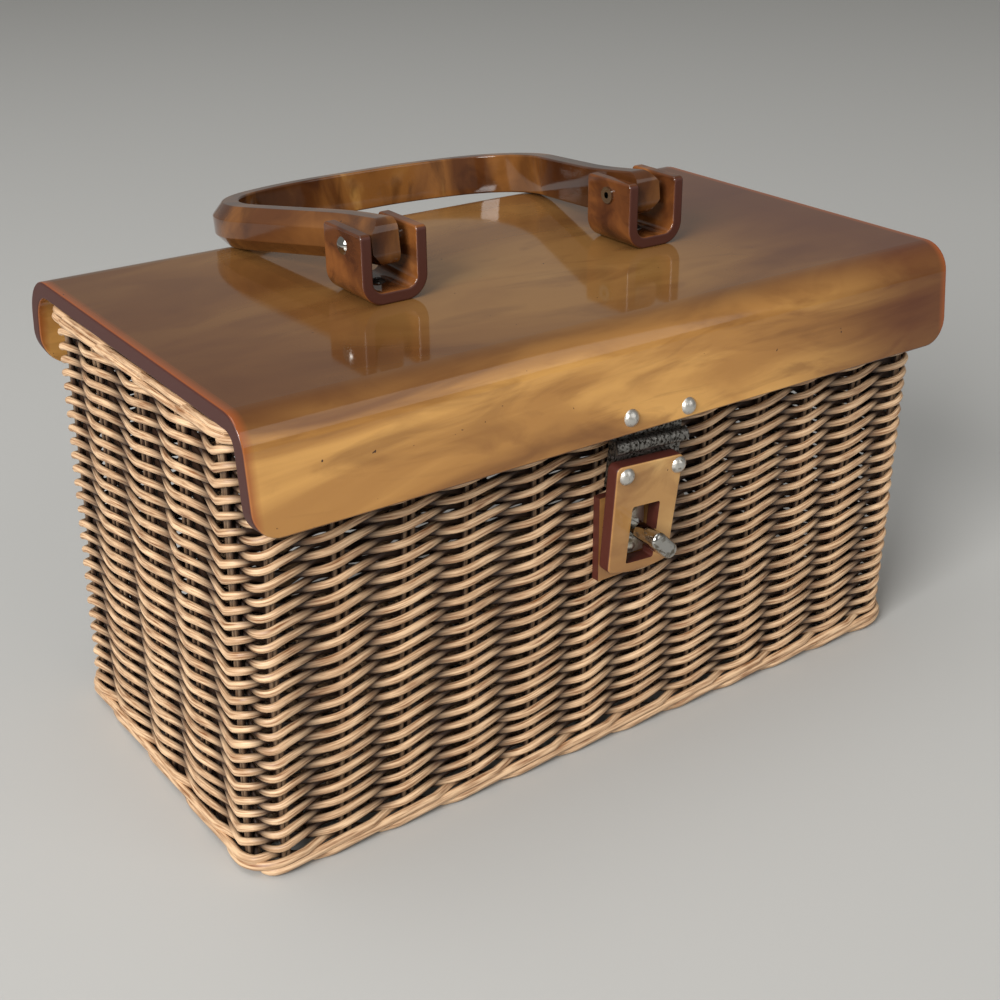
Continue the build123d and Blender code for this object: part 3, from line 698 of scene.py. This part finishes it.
# %% Give each solid its finish
FINISH_OF_SLOT = {
    "amber_sheet": AMBER_LID,
    "amber_bracket": AMBER_BRACKET,
    "amber_handle": AMBER_HANDLE,
    "amber_latch": AMBER_LATCH,
    "bright_metal": CHROME,
    "hinge_metal": HINGE,
    "rivet_metal": RIVET,
    "worn_plate": PLATE,
}
for part in frame["record"]["subparts"]:
    finish = FINISH_OF_SLOT.get(part["material_slot"])
    if finish:
        solid = NODES[part["node"]]
        for place in solid.material_slots:
            place.material = finish
print("finishes given to the solids")

# %% [markdown]
# ## Floor and light
# A plain pale floor, a large soft light low on the left, a weaker one from the front, a third overhead, and
# grey all round for the polished sheet to mirror.


# %% Floor, lights and surroundings
def floor():
    """A plain pale floor at height 0."""
    mesh = bpy.data.meshes.new("floor")
    size = 6.0
    corners = [(-size, -size, 0), (size, -size, 0), (size, size, 0), (-size, size, 0)]
    mesh.from_pydata(corners, [], [(0, 1, 2, 3)])
    material, tree, shader = new_finish("floor_paint")
    shader.inputs["Base Color"].default_value = (0.46, 0.46, 0.45, 1)
    shader.inputs["Roughness"].default_value = 0.6
    mesh.materials.append(material)
    piece = bpy.data.objects.new("floor", mesh)
    bpy.context.scene.collection.objects.link(piece)


def soft_light(name, place, target, size, power, colour):
    """A square soft light aimed at a point."""
    data = bpy.data.lights.new(name, "AREA")
    data.size, data.energy, data.color = size, power, colour
    light = bpy.data.objects.new(name, data)
    bpy.context.scene.collection.objects.link(light)
    light.location = place
    light.rotation_euler = (Vector(target) - Vector(place)).to_track_quat("-Z", "Y").to_euler()


AIM = (0, 0, 0.08)
floor()
soft_light("window", (-2.0, -0.9, 1.35), AIM, 1.2, 78, (1.0, 0.985, 0.96))
soft_light("fill", (0.9, -2.3, 1.5), AIM, 2.2, 16, (1.0, 0.99, 0.97))
soft_light("overhead", (-0.5, 0.3, 2.4), (0, 0, 0.1), 1.6, 16, (1.0, 1.0, 1.0))
bpy.context.scene.view_settings.view_transform = "Standard"
world = bpy.data.worlds.new("surroundings")
bpy.context.scene.world = world
world.use_nodes = True
background = world.node_tree.nodes["Background"]
background.inputs["Color"].default_value = (0.60, 0.59, 0.56, 1)
background.inputs["Strength"].default_value = 0.42
print("floor, lights and surroundings made")
